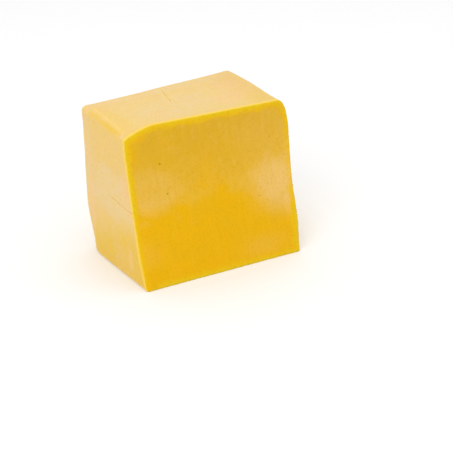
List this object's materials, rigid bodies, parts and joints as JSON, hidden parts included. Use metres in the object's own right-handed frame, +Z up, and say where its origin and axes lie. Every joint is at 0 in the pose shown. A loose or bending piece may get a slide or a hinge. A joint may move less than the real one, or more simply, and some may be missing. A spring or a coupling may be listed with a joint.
{
  "type": "cheese block",
  "caption": "Block of golden semi-hard cheese, the end of a rectangular loaf, with a pale waxy skin, a slumped front shoulder and a slanting knife-cut face.",
  "frame": {"origin": "middle of the base of the whole block, on the surface it stands on", "axes": "+X across the loaf, to the right when looking at the cut face; +Y from the cut face to the flat back; +Z up"},
  "size_m": [0.1134, 0.0868, 0.0976],
  "materials": {
    "cheese": "semi-hard cheese: satin, slightly translucent, golden where it is cut and paler on the skin"
  },
  "bodies": {
    "root": {"cheese_block": "cheese"}
  },
  "joints": []
}
